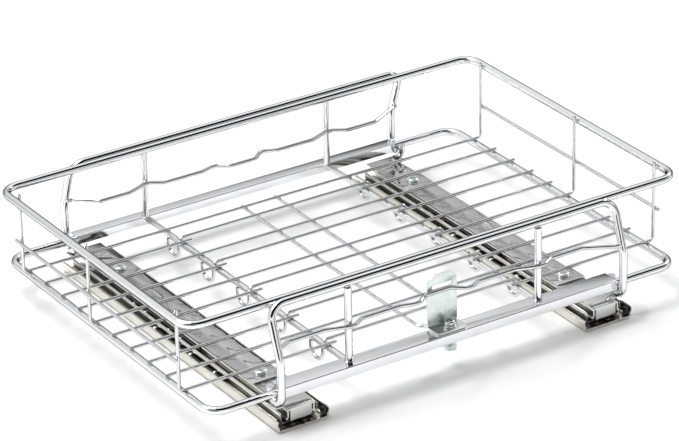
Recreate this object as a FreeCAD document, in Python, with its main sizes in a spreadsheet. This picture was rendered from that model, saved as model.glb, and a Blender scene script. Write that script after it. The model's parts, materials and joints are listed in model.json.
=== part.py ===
import FreeCAD, Part
import math
import os
import Sketcher
from FreeCAD import Placement, Rotation, Vector

os.makedirs("parts", exist_ok=True)
doc = FreeCAD.newDocument("pull_out_basket")

# ---------------------------------------------------------------- driving sizes (mm)
SIZES = [
    ("rim_width", 350.0),       # top rim, centre line to centre line, left to right
    ("rim_depth", 222.8),       # top rim, centre line to centre line, front to back
    ("rim_level", 75.35),       # height of the top rim's centre line
    ("rim_corner", 11.0),
    ("base_inset", 8.0),        # bottom rim is this much narrower at each side
    ("base_outset", 10.2),      # and this much deeper at the front and at the back
    ("base_level", 21.7),       # height of the bottom rim's centre line
    ("base_corner", 11.0),
    ("rod_dia", 5.0),           # rims, hoops and struts
    ("support_dia", 4.0),       # the two rods that carry the floor
    ("wire_dia", 2.2),          # floor, upright and side wires
    ("guard_dia", 2.6),         # kinked wires across the front and the back
    ("wire_pitch", 20.8),       # spacing of the ten floor wires
    ("support_spacing", 136.0),
    ("raised_step", 2.3),       # how far the raised floor wires stand above the others
    ("side_wire_level", 46.5),
    ("guard_level", 49.7),
    ("hoop_span", 246.0),       # between the centre lines of a hoop's legs
    ("hoop_corner", 10.0),
    ("knee_level", 44.0),       # where a hoop's legs start to lean inwards
    ("angle_span", 240.4),      # length of the angle strips
    ("angle_reach", 12.1),      # width of their top flange
    ("angle_drop", 6.6),        # height of the front strip's hanging flange
    ("rear_angle_reach", 8.4),
    ("rear_angle_drop", 6.0),
    ("angle_wall", 1.0),
    ("rail_spacing", 220.0),    # between the centre lines of the two slides
    ("rail_length", 256.0),
    ("rail_lead", 8.5),         # outer rails stand this far ahead of the bottom rim
    ("outer_wall", 1.2),
    ("inner_wall", 1.0),
    ("ball_dia", 4.0),
    ("upper_ball_dia", 3.0),
    ("ball_play", 0.05),
    ("race_offset", 14.9),      # slide centre line to the lower balls' centre
    ("race_level", 5.4),
    ("carrier_width", 18.8),    # strips that join the basket to the inner rails
    ("carrier_wall", 1.0),
    ("pad_width", 21.0),        # small plates under the carrier screws
    ("pad_length", 18.0),
    ("screw_dia", 3.5),
    ("screw_reach", 83.0),      # carrier screws, from the middle of the slide
    ("travel", 230.0),
]
sheet = doc.addObject("Spreadsheet::Sheet", "sizes")
for row, (alias, number) in enumerate(SIZES, start=1):
    sheet.set(f"A{row}", alias)
    sheet.set(f"B{row}", str(number))
    sheet.setAlias(f"B{row}", alias)
doc.recompute()


def size(alias):
    """The number that the sheet holds under this name."""
    return float(sheet.get(alias))


parts = []


# ---------------------------------------------------------------- helpers
def place(obj, where, rotation=Rotation()):
    """Puts an object where three sheet expressions (or numbers) say."""
    obj.Placement = Placement(Vector(0, 0, 0), rotation)
    for axis, expression in zip("xyz", where):
        obj.setExpression(f"Placement.Base.{axis}", str(expression))


def new_body(name):
    body = doc.addObject("PartDesign::Body", name)
    body.Label = name
    parts.append(body)
    return body


def plane_of(body, role):
    for feature in body.Origin.OriginFeatures:
        if feature.Role == role:
            return feature
    raise ValueError(role)


def new_sketch(body, name, role):
    sketch = body.newObject("Sketcher::SketchObject", name)
    sketch.AttachmentSupport = (plane_of(body, role), [""])
    sketch.MapMode = "FlatFace"
    return sketch


def circle_sketch(body, name, role, diameter):
    sketch = new_sketch(body, name, role)
    sketch.addGeometry(Part.Circle(Vector(0, 0, 0), Vector(0, 0, 1), 1.0), False)
    sketch.addConstraint(Sketcher.Constraint("Coincident", 0, 3, -1, 1))
    sketch.addConstraint(Sketcher.Constraint("Diameter", 0, 2.0))
    sketch.renameConstraint(1, "across")
    sketch.setExpression("Constraints.across", diameter)
    return sketch


def pad(body, sketch, length, reverse=False):
    feature = body.newObject("PartDesign::Pad", body.Name + "_pad")
    feature.Profile = sketch
    feature.Reversed = reverse
    feature.setExpression("Length", str(length))
    body.Tip = feature
    sketch.Visibility = False
    return feature


TURN = {
    "x": Rotation(Vector(0, 1, 0), 90),
    "y": Rotation(Vector(1, 0, 0), -90),
    "z": Rotation(),
}


def straight_rod(name, diameter, length, start, along):
    """A round bar that starts at a point and runs along +X, +Y or +Z."""
    body = new_body(name)
    sketch = circle_sketch(body, name + "_round", "XY_Plane", diameter)
    pad(body, sketch, length)
    place(body, start, TURN[along])
    return body


def trace(steps, start=(0.0, 0.0), heading=0.0):
    """Turns runs and bends into lines and arcs, all tangent to each other."""
    x, y = start
    angle = math.radians(heading)
    pieces = []
    for step in steps:
        if step[0] == "run":
            x2 = x + step[1] * math.cos(angle)
            y2 = y + step[1] * math.sin(angle)
            pieces.append(("line", (x, y), (x2, y2)))
        else:
            radius, sweep = step[1], math.radians(step[2])
            side = 1.0 if sweep > 0 else -1.0
            cx = x - side * radius * math.sin(angle)
            cy = y + side * radius * math.cos(angle)
            first = angle - side * math.pi / 2
            last = first + sweep
            x2 = cx + radius * math.cos(last)
            y2 = cy + radius * math.sin(last)
            pieces.append(("arc", (cx, cy), radius, first, last))
            angle += sweep
        x, y = x2, y2
    return pieces, (x, y), math.degrees(angle)


def draw(sketch, pieces):
    for piece in pieces:
        if piece[0] == "line":
            (ax, ay), (bx, by) = piece[1], piece[2]
            sketch.addGeometry(Part.LineSegment(Vector(ax, ay, 0), Vector(bx, by, 0)), False)
        else:
            (cx, cy), radius, first, last = piece[1:]
            low, high = min(first, last), max(first, last)
            ring = Part.Circle(Vector(cx, cy, 0), Vector(0, 0, 1), radius)
            sketch.addGeometry(Part.ArcOfCircle(ring, low, high), False)


def bent_rod(name, diameter, steps, start, rotation):
    """A bar bent in one plane: its path starts at the origin of its body, along +X."""
    body = new_body(name)
    spine = new_sketch(body, name + "_path", "XY_Plane")
    draw(spine, trace(steps)[0])
    section = circle_sketch(body, name + "_round", "YZ_Plane", diameter)
    doc.recompute()
    pipe = body.newObject("PartDesign::AdditivePipe", name + "_pipe")
    pipe.Profile = section
    pipe.Spine = (spine, [f"Edge{i + 1}" for i in range(len(steps))])
    body.Tip = pipe
    place(body, start, rotation)
    return body


def sheet_bar(name, wall, half, level, length, start, reverse=True):
    """A rolled section, symmetric about its middle, drawn from its middle outwards."""
    body = new_body(name)
    sketch = new_sketch(body, name + "_section", "XZ_Plane")
    flat = half[0][1]
    ends = []
    for side in (0.5, -0.5):
        y = level + side * wall
        sketch.addGeometry(Part.LineSegment(Vector(-flat, y, 0), Vector(flat, y, 0)), False)
        shifted = []
        for step in half[1:]:
            if step[0] == "run":
                shifted.append(step)
            else:
                inward = side if step[2] > 0 else -side
                shifted.append(("bend", step[1] - inward * wall, step[2]))
        pieces, end, _ = trace(shifted, (flat, y))
        draw(sketch, pieces)
        ends.append(end)
        mirrored = []
        for piece in pieces:
            if piece[0] == "line":
                (ax, ay), (bx, by) = piece[1], piece[2]
                mirrored.append(("line", (-ax, ay), (-bx, by)))
            else:
                (cx, cy), radius, first, last = piece[1:]
                mirrored.append(("arc", (-cx, cy), radius, math.pi - first, math.pi - last))
        draw(sketch, mirrored)
    for sign in (1, -1):
        a = Vector(sign * ends[0][0], ends[0][1], 0)
        b = Vector(sign * ends[1][0], ends[1][1], 0)
        sketch.addGeometry(Part.LineSegment(a, b), False)
    pad(body, sketch, length, reverse)
    place(body, start)
    return body


def box_bar(name, width, depth, height, start):
    """A rectangular bar, centred left to right on its start."""
    body = new_body(name)
    sketch = new_sketch(body, name + "_plan", "XY_Plane")
    corners = [(-0.5, 0), (0.5, 0), (0.5, 1), (-0.5, 1)]
    for i in range(4):
        ax, ay = corners[i]
        bx, by = corners[(i + 1) % 4]
        sketch.addGeometry(Part.LineSegment(Vector(ax, ay, 0), Vector(bx, by, 0)), False)
    for i in range(4):
        sketch.addConstraint(Sketcher.Constraint("Coincident", i, 2, (i + 1) % 4, 1))
    sketch.addConstraint(Sketcher.Constraint("Horizontal", 0))
    sketch.addConstraint(Sketcher.Constraint("Vertical", 1))
    sketch.addConstraint(Sketcher.Constraint("Horizontal", 2))
    sketch.addConstraint(Sketcher.Constraint("Vertical", 3))
    sketch.addConstraint(Sketcher.Constraint("Symmetric", 0, 1, 0, 2, -1, 1))
    wide = sketch.addConstraint(Sketcher.Constraint("DistanceX", 0, 1, 0, 2, 1.0))
    deep = sketch.addConstraint(Sketcher.Constraint("DistanceY", 1, 1, 1, 2, 1.0))
    sketch.renameConstraint(wide, "wide")
    sketch.renameConstraint(deep, "deep")
    sketch.setExpression("Constraints.wide", str(width))
    sketch.setExpression("Constraints.deep", str(depth))
    pad(body, sketch, height)
    place(body, start)
    return body


def solid_part(name, shape):
    feature = doc.addObject("Part::Feature", name)
    feature.Label = name
    feature.Shape = shape
    parts.append(feature)
    return feature


def space_rod(points, radii, diameter):
    """A bar through points in space, with a tangent bend at each inner point."""
    edges = []
    here = points[0]
    for i in range(1, len(points) - 1):
        into = (points[i] - points[i - 1]).normalize()
        away = (points[i + 1] - points[i]).normalize()
        turn = into.getAngle(away)
        reach = radii[i - 1] * math.tan(turn / 2)
        first = points[i] - into * reach
        last = points[i] + away * reach
        inward = (away - into).normalize()
        middle_gap = radii[i - 1] / math.cos(turn / 2) - radii[i - 1]
        middle = points[i] + inward * middle_gap
        if (first - here).Length > 1e-4:
            edges.append(Part.makeLine(here, first))
        edges.append(Part.Arc(first, middle, last).toShape())
        here = last
    if (points[-1] - here).Length > 1e-4:
        edges.append(Part.makeLine(here, points[-1]))
    path = Part.Wire(edges)
    along = (points[1] - points[0]).normalize()
    ring = Part.Wire(Part.makeCircle(diameter / 2, points[0], along))
    return path.makePipeShell([ring], True, False)


# ---------------------------------------------------------------- numbers used by several parts
rim_x = size("rim_width") / 2
rim_y = size("rim_depth") / 2
rim_z = size("rim_level")
base_x = rim_x - size("base_inset")
base_y = rim_y + size("base_outset")
base_z = size("base_level")
rod = size("rod_dia")
wire = size("wire_dia")
guard = size("guard_dia")
pitch = size("wire_pitch")
floor_z = base_z + (rod + wire) / 2
upright_x = rim_x - (rod + wire) / 2

RIM_X = "sizes.rim_width / 2"
RIM_Y = "sizes.rim_depth / 2"
BASE_X = "(sizes.rim_width / 2 - sizes.base_inset)"
BASE_Y = "(sizes.rim_depth / 2 + sizes.base_outset)"
FLOOR_Z = "(sizes.base_level + (sizes.rod_dia + sizes.wire_dia) / 2)"
UPRIGHT_X = "(sizes.rim_width / 2 - (sizes.rod_dia + sizes.wire_dia) / 2)"
RAIL_FRONT = f"-({BASE_Y} + sizes.rail_lead)"


# ---------------------------------------------------------------- rims
def rim(name, half_x, half_y, corner, start):
    side = [("run", half_y * 2 - 2 * corner), ("bend", corner, 90)]
    end = [("run", half_x * 2 - 2 * corner), ("bend", corner, 90)]
    steps = [("run", half_x - corner), ("bend", corner, 90)] + side + end + side
    steps.append(("run", half_x - corner))
    return bent_rod(name, "sizes.rod_dia", steps, start, Rotation())


rim("top_rim", rim_x, rim_y, size("rim_corner"), (0, f"-{RIM_Y}", "sizes.rim_level"))
rim("bottom_rim", base_x, base_y, size("base_corner"), (0, f"-{BASE_Y}", "sizes.base_level"))

# ---------------------------------------------------------------- side wires and uprights
tail = 3.1                      # an upright's top end, above the rim's centre line
fold = 3.0                      # bend radius at its foot
past = 2.0                      # floor wires end this far past the bottom rim's centre line
upright_run = rim_z + tail - floor_z - fold
RISE = f"(sizes.rim_level + {tail})"


def row(number):
    """Place of floor wire 1 (back) to 10 (front), as a multiple of the pitch."""
    return 5.5 - number


# the path starts down (-Z) and turns towards +X: local X is -Z, local Y is +X
FROM_LEFT = Rotation(Vector(0, 0, -1), Vector(1, 0, 0), Vector(0, -1, 0), "XYZ")
FROM_RIGHT = Rotation(Vector(0, 0, -1), Vector(-1, 0, 0), Vector(0, 1, 0), "XYZ")
support_x = size("support_spacing") / 2
stub_past = 4.6                 # cut floor wires end this far inside the support rods

across = 2 * upright_x - 2 * fold
bent_rod("rear_upright_wire", "sizes.wire_dia",
         [("run", upright_run), ("bend", fold, 90), ("run", across), ("bend", fold, 90),
          ("run", upright_run)],
         (f"-{UPRIGHT_X}", f"{row(1)} * sizes.wire_pitch", RISE), FROM_LEFT)
long_leg = upright_x - fold + base_x + past
bent_rod("left_upright_wire", "sizes.wire_dia",
         [("run", upright_run), ("bend", fold, 90), ("run", long_leg)],
         (f"-{UPRIGHT_X}", f"{row(5)} * sizes.wire_pitch", RISE), FROM_LEFT)
short_leg = upright_x - fold - support_x + stub_past
bent_rod("right_upright_wire", "sizes.wire_dia",
         [("run", upright_run), ("bend", fold, 90), ("run", short_leg)],
         (UPRIGHT_X, f"{row(6)} * sizes.wire_pitch", RISE), FROM_RIGHT)
bent_rod("front_left_upright_wire", "sizes.wire_dia",
         [("run", upright_run), ("bend", fold, 90), ("run", short_leg)],
         (f"-{UPRIGHT_X}", f"{row(10)} * sizes.wire_pitch", RISE), FROM_LEFT)
bent_rod("front_right_upright_wire", "sizes.wire_dia",
         [("run", upright_run), ("bend", fold, 90), ("run", short_leg)],
         (UPRIGHT_X, f"{row(10)} * sizes.wire_pitch", RISE), FROM_RIGHT)

SIDE_Y = f"-({-row(10)} * sizes.wire_pitch + 3.5)"
SIDE_LENGTH = f"2 * ({-row(10)} * sizes.wire_pitch + 3.5)"
for name, sign in (("left_side_wire", "-"), ("right_side_wire", "")):
    straight_rod(name, "sizes.wire_dia", SIDE_LENGTH,
                 (f"{sign}({UPRIGHT_X} + sizes.wire_dia)", SIDE_Y, "sizes.side_wire_level"), "y")

# ---------------------------------------------------------------- floor wires
for number in (3, 7, 9):
    straight_rod(f"floor_wire_{number}", "sizes.wire_dia", f"2 * ({BASE_X} + {past})",
                 (f"-({BASE_X} + {past})", f"{row(number)} * sizes.wire_pitch", FLOOR_Z), "x")


def stub_group(name, numbers, sign):
    """Cut floor wires between one side of the bottom rim and the support rod."""
    outer = base_x + past
    inner = support_x - stub_past
    shapes = []
    for number in numbers:
        begin = Vector(sign * outer, row(number) * pitch, floor_z)
        shapes.append(Part.makeCylinder(wire / 2, outer - inner, begin, Vector(-sign, 0, 0)))
    solid_part(name, Part.makeCompound(shapes))


stub_group("left_stub_wires", (2, 4, 6, 8), -1)
stub_group("right_stub_wires", (2, 4, 8), 1)

# raised wires: over both support rods, then down outside them into a hanging loop
raised_z = floor_z + size("raised_step")
loop_low = base_z - 8.6
loop_back = 13.4
support_r = size("support_dia") / 2
shoulder_x = support_x + support_r + wire / 2 + 0.3
for number in (2, 4, 6, 8, 10):
    y = row(number) * pitch + wire + 0.05
    half = [
        Vector(-shoulder_x, y + loop_back, base_z + 0.4),
        Vector(-shoulder_x, y + loop_back, loop_low),
        Vector(-shoulder_x, y, loop_low),
        Vector(-shoulder_x, y, raised_z),
    ]
    points = half + [Vector(-p.x, p.y, p.z) for p in reversed(half)]
    bends = [loop_back / 2 - 0.05, loop_back / 2 - 0.05, 3.0]
    solid_part(f"raised_wire_{number}", space_rod(points, bends + bends[::-1], wire))

# ---------------------------------------------------------------- support rods, centre wire
SUPPORT_Z = "(sizes.base_level + (sizes.rod_dia - sizes.support_dia) / 2)"
SUPPORT_FRONT = f"({BASE_Y} - sizes.rod_dia / 2)"
SUPPORT_REAR = f"({BASE_Y} - sizes.rod_dia / 2 - sizes.angle_wall)"
for name, sign in (("left_support_rod", "-"), ("right_support_rod", "")):
    straight_rod(name, "sizes.support_dia", f"{SUPPORT_FRONT} + {SUPPORT_REAR}",
                 (f"{sign}sizes.support_spacing / 2", f"-{SUPPORT_FRONT}", SUPPORT_Z), "y")

under_z = floor_z - wire
centre_left = -10.5
centre_span = 25.0
centre_bend = 5.0
centre_front = base_y - 17.2
centre_rear = rim_y - 12.0
leg_run = centre_rear + centre_front - centre_bend
BACKWARD = Rotation(Vector(0, -1, 0), Vector(1, 0, 0), Vector(0, 0, 1), "XYZ")
bent_rod("centre_wire", "sizes.wire_dia",
         [("run", leg_run), ("bend", centre_bend, 90), ("run", centre_span - 2 * centre_bend),
          ("bend", centre_bend, 90), ("run", leg_run)],
         (centre_left, f"{RIM_Y} - 12", f"{FLOOR_Z} - sizes.wire_dia"), BACKWARD)

# ---------------------------------------------------------------- front and rear frames
hoop_x = size("hoop_span") / 2
hoop_z = rim_z + 0.65
hook = rod + size("angle_wall")  # leg centre line to the bottom rim's centre line
bar_y = rim_y + rod             # hoop's top bar, against the top rim
leg_y = base_y + hook
strut_y = bar_y + 1.6
flange_top = base_z + rod / 2 + size("angle_wall")


def mirrored_points(points):
    return points + [Vector(-p.x, p.y, p.z) for p in reversed(points)]


for name, way in (("front_hoop", -1), ("rear_hoop", 1)):
    half = [
        Vector(-hoop_x, way * (base_y - hook), base_z + 2.4),
        Vector(-hoop_x, way * (base_y - hook), base_z - hook),
        Vector(-hoop_x, way * leg_y, base_z - hook),
        Vector(-hoop_x, way * leg_y, size("knee_level")),
        Vector(-hoop_x, way * bar_y, hoop_z),
    ]
    bends = [hook - 0.01, hook - 0.01, 18.0, size("hoop_corner")]
    solid_part(name, space_rod(mirrored_points(half), bends + bends[::-1], rod))

STRUT_FOOT = "(sizes.base_level + sizes.rod_dia / 2 + sizes.angle_wall)"
STRUT_RUN = f"(sizes.rim_level + 0.65 - sizes.rod_dia / 2 - {STRUT_FOOT})"
strut_at = {"left": -70.0, "right": 66.0}
for side, x in strut_at.items():
    for end, sign in (("front", "-"), ("rear", "")):
        straight_rod(f"{end}_{side}_strut", "sizes.rod_dia - 0.4", STRUT_RUN,
                     (x, f"{sign}({RIM_Y} + sizes.rod_dia + 1.6)", STRUT_FOOT), "z")

guard_z = size("guard_level")
lean = (leg_y - bar_y) / (hoop_z - size("knee_level"))
leg_there = leg_y - (guard_z - size("knee_level")) * lean
end_y = leg_there - (rod + guard) / 2 * math.hypot(1, lean) - 0.05


def guard_path(straight, kink_y, run, right_end):
    """Plan of a kinked wire between the legs of a hoop, as distances from the middle."""
    def kink(x):
        return [(x - 16, straight), (x - 2.5, kink_y), (x + 2.5, kink_y), (x + 10, straight)]

    seat = straight - 3.0       # where it passes the catch bracket
    return ([(-hoop_x, end_y), (-hoop_x + 2.5, end_y), (-hoop_x + run, straight)]
            + kink(strut_at["left"])
            + [(-33.0, straight), (-25.0, straight + 2.5), (-20.5, straight + 2.5), (-13.5, seat),
               (5.0, seat), (12.5, straight + 3.4), (16.5, straight + 3.4), (23.0, straight)]
            + kink(strut_at["right"])
            + [(hoop_x - 24, straight)] + right_end)


# The front one passes its struts outside and its right end butts against the leg;
# the rear one passes its struts inside, and both its ends lie against the legs.
beside = (rod - 0.4 + guard) / 2 + 0.05
butt_y = leg_there + 1.2
butted = [(hoop_x - 6, butt_y), (hoop_x - rod / 2 - 0.02, butt_y)]
beside_leg = [(hoop_x - 2.5, end_y), (hoop_x, end_y)]
for name, way, plan in (
    ("front_guard_wire", -1, guard_path(strut_y - 1.0, strut_y + beside, 12, butted)),
    ("rear_guard_wire", 1, guard_path(strut_y - 8.7, strut_y - beside, 16, beside_leg)),
):
    points = [Vector(x, way * y, guard_z) for x, y in plan]
    solid_part(name, space_rod(points, [3.0] * (len(points) - 2), guard))


def angle_strip(face, drop, reach):
    """Angle strip: a flange hangs at its front face, the other runs back over the bottom rim."""
    wall = size("angle_wall")
    span = size("angle_span")
    low = flange_top - drop
    back = face + reach
    outline = [(face, low), (face + wall, low), (face + wall, flange_top - wall),
               (back, flange_top - wall), (back, flange_top), (face, flange_top)]
    ring = [Vector(-span / 2, y, z) for y, z in outline]
    strip = Part.Face(Part.makePolygon(ring + ring[:1])).extrude(Vector(span, 0, 0))
    outside = [e for e in strip.Edges
               if abs(e.Length - span) < 0.01 and abs(e.CenterOfMass.y - face) < 0.01
               and abs(e.CenterOfMass.z - flange_top) < 0.01]
    return strip.makeFillet(0.8, outside)


screw_x = 2.0
screw_y = -(base_y - 4.6)
bolt = size("screw_dia")
hole = Part.makeCylinder(bolt / 2 + 0.25, 20, Vector(screw_x, screw_y, base_z - 5))
front_face = -(base_y + rod / 2 + size("angle_wall"))
front_strip = angle_strip(front_face, size("angle_drop"), size("angle_reach"))
solid_part("front_angle", front_strip.cut(hole))
rear_face = base_y - rod / 2 - size("angle_wall")
solid_part("rear_angle", angle_strip(rear_face, size("rear_angle_drop"), size("rear_angle_reach")))

# ---------------------------------------------------------------- catch bracket at the front
plate_wall = 1.2
plate_width = 21.3
plate_mid = 0.4
plate_top = guard_z + 10.1
plate_y = -(base_y - 9.7)
foot_wall = 1.2
bend_r = 1.9
foot_front = -(base_y + rod / 2)
profile = [
    Vector(0, foot_front + 0.6, flange_top), Vector(0, plate_y + plate_wall - bend_r, flange_top),
    Vector(0, plate_y + plate_wall, flange_top + bend_r), Vector(0, plate_y + plate_wall, plate_top),
    Vector(0, plate_y, plate_top), Vector(0, plate_y, flange_top + bend_r),
    Vector(0, plate_y + plate_wall - bend_r, flange_top + foot_wall),
    Vector(0, foot_front + 0.6, flange_top + foot_wall),
]
outer_mid = Vector(0, plate_y + plate_wall - bend_r * (1 - math.sin(math.pi / 4)),
                   flange_top + bend_r * (1 - math.cos(math.pi / 4)))
inner_r = bend_r - plate_wall
inner_mid = Vector(0, plate_y + plate_wall - bend_r + inner_r * math.sin(math.pi / 4),
                   flange_top + bend_r - inner_r * math.cos(math.pi / 4))
edges = [
    Part.makeLine(profile[0], profile[1]),
    Part.Arc(profile[1], outer_mid, profile[2]).toShape(),
    Part.makeLine(profile[2], profile[3]),
    Part.makeLine(profile[3], profile[4]),
    Part.makeLine(profile[4], profile[5]),
    Part.Arc(profile[5], inner_mid, profile[6]).toShape(),
    Part.makeLine(profile[6], profile[7]),
    Part.makeLine(profile[7], profile[0]),
]
bracket = Part.Face(Part.Wire(edges)).extrude(Vector(plate_width, 0, 0))
bracket.translate(Vector(plate_mid - plate_width / 2, 0, 0))
corners = [e for e in bracket.Edges
           if abs(e.Length - plate_wall) < 0.01 and abs(e.CenterOfMass.z - plate_top) < 0.01]
bracket = bracket.makeFillet(7.0, corners)
toes = [e for e in bracket.Edges
        if abs(e.Length - foot_wall) < 0.01 and abs(e.CenterOfMass.y - foot_front - 0.6) < 0.01]
bracket = bracket.makeFillet(3.0, toes)
slot = Part.makeBox(14.0, 6.0, 3.0, Vector(plate_mid - 7.0, plate_y - 2, guard_z + 0.3))
hole = Part.makeCylinder(bolt / 2 + 0.25, 10, Vector(screw_x, screw_y, flange_top - 2))
solid_part("catch_bracket", bracket.cut(slot).cut(hole))

washer_top = flange_top + foot_wall + 1.0
washer = Part.makeCylinder(4.4, 1.0, Vector(screw_x, screw_y, flange_top + foot_wall))
washer = washer.cut(Part.makeCylinder(bolt / 2 + 0.25, 3, Vector(screw_x, screw_y, flange_top)))
solid_part("catch_washer", washer)


def pan_screw(x, y, seat, reach, head_r, head_h):
    """Cross-head screw: its head stands on seat, its shank goes down by reach."""
    head = Part.makeCylinder(head_r, head_h, Vector(x, y, seat))
    crown = [e for e in head.Edges if abs(e.CenterOfMass.z - seat - head_h) < 0.01
             and isinstance(e.Curve, Part.Circle)]
    head = head.makeFillet(head_h * 0.45, crown)
    shank = Part.makeCylinder(bolt / 2, reach, Vector(x, y, seat - reach))
    screw = head.fuse(shank)
    for dx, dy in ((head_r * 1.1, 0.9), (0.9, head_r * 1.1)):
        cut = Part.makeBox(dx, dy, head_h, Vector(x - dx / 2, y - dy / 2, seat + head_h * 0.45))
        screw = screw.cut(cut)
    return screw.removeSplitter()


screw_low = base_z - 11.4
solid_part("catch_screw", pan_screw(screw_x, screw_y, washer_top, washer_top - screw_low, 3.4, 2.6))
nut_low = base_z - 10.6
nut_points = []
for i in range(7):
    turn = math.radians(60 * i)
    nut_points.append(Vector(screw_x + 4.7 * math.cos(turn), screw_y + 4.7 * math.sin(turn), nut_low))
nut = Part.Face(Part.makePolygon(nut_points)).extrude(Vector(0, 0, 3.2))
solid_part("catch_nut", nut.cut(Part.makeCylinder(bolt / 2 + 0.05, 5, Vector(screw_x, screw_y, nut_low - 1))))

# ---------------------------------------------------------------- slides
rail_x = size("rail_spacing") / 2
rail_length = size("rail_length")
rail_front = -(base_y + size("rail_lead"))
ball = size("ball_dia") / 2
small = size("upper_ball_dia") / 2
play = size("ball_play")
wall_o = size("outer_wall")
wall_i = size("inner_wall")
race_x = size("race_offset")
race_z = size("race_level")

# outer rail: flat base, wall, race around the lower balls
outer_race = ball + play + wall_o / 2
splay = 32.0
corner_r = 1.4
relief = 0.8
wall_x = race_x + outer_race * math.cos(math.radians(splay)) - relief * (1 - math.cos(math.radians(splay)))
race_foot = race_z - outer_race * math.sin(math.radians(splay)) - relief * math.sin(math.radians(splay))
outer_half = [
    ("run", wall_x - corner_r), ("bend", corner_r, 90),
    ("run", race_foot - wall_o / 2 - corner_r), ("bend", relief, -splay),
    ("bend", outer_race, splay + 42),
]
# middle rail: web, race inside the lower balls, race outside the upper balls
web_z = wall_o + 1.0 + wall_i / 2
mid_race = ball + play + wall_i / 2
top_race = small + play + wall_i / 2
mid_wall_x = race_x - mid_race
mid_corner = 1.2
tilt = 30.0
middle_half = [
    ("run", mid_wall_x - mid_corner), ("bend", mid_corner, 90),
    ("run", race_z - web_z - mid_corner), ("bend", mid_race, -tilt),
    ("bend", top_race, tilt + 55),
]
upper_x = race_x - (mid_race + top_race) * math.cos(math.radians(tilt))
upper_z = race_z + (mid_race + top_race) * math.sin(math.radians(tilt))
# inner rail: web on top, race inside the upper balls
inner_top = 12.2
inner_web_z = inner_top - wall_i / 2
inner_wall_x = upper_x - top_race
inner_corner = 1.0
inner_half = [
    ("run", inner_wall_x - inner_corner), ("bend", inner_corner, -90),
    ("run", inner_web_z - inner_corner - upper_z), ("bend", top_race, 70),
]
middle_front = rail_front + 5.0
inner_front = rail_front + 2.5
MIDDLE_LENGTH = "(sizes.rail_length - 11)"
INNER_LENGTH = "(sizes.rail_length - 11.5)"
middle_length = rail_length - 11
inner_length = rail_length - 11.5
carrier_wall = size("carrier_wall")
carrier_top = base_z - hook - rod / 2
carrier_half_length = base_y + rod / 2 - 0.1
screw_reach = size("screw_reach")
hole_rows = (-0.42, -0.16, 0.16, 0.42)


def drill(body, name, spots, diameter, bottom, depth):
    """Round holes down through a body, at spots given in its own axes."""
    sketch = new_sketch(body, name, "XY_Plane")
    for i, (x, y) in enumerate(spots):
        sketch.addGeometry(Part.Circle(Vector(x, y, 0), Vector(0, 0, 1), diameter / 2), False)
    sketch.AttachmentOffset = Placement(Vector(0, 0, bottom), Rotation())
    pocket = body.newObject("PartDesign::Pocket", name + "_cut")
    pocket.Profile = sketch
    pocket.Reversed = True
    pocket.Length = depth
    body.Tip = pocket
    return pocket


def row_of_balls(centre_x, offset, level, radius, places):
    shapes = []
    for sign in (-1, 1):
        for y in places:
            shapes.append(Part.makeSphere(radius, Vector(centre_x + sign * offset, y, level)))
    return Part.makeCompound(shapes)


def ball_places(begin, length, count):
    gap = length / count
    return [begin + gap * (i + 0.5) for i in range(count)]


retainer_length = 84.0
lower_begin = -62.0 * rail_length / 256.0
upper_begin = -30.0 * rail_length / 256.0
ball_count = 6

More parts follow.
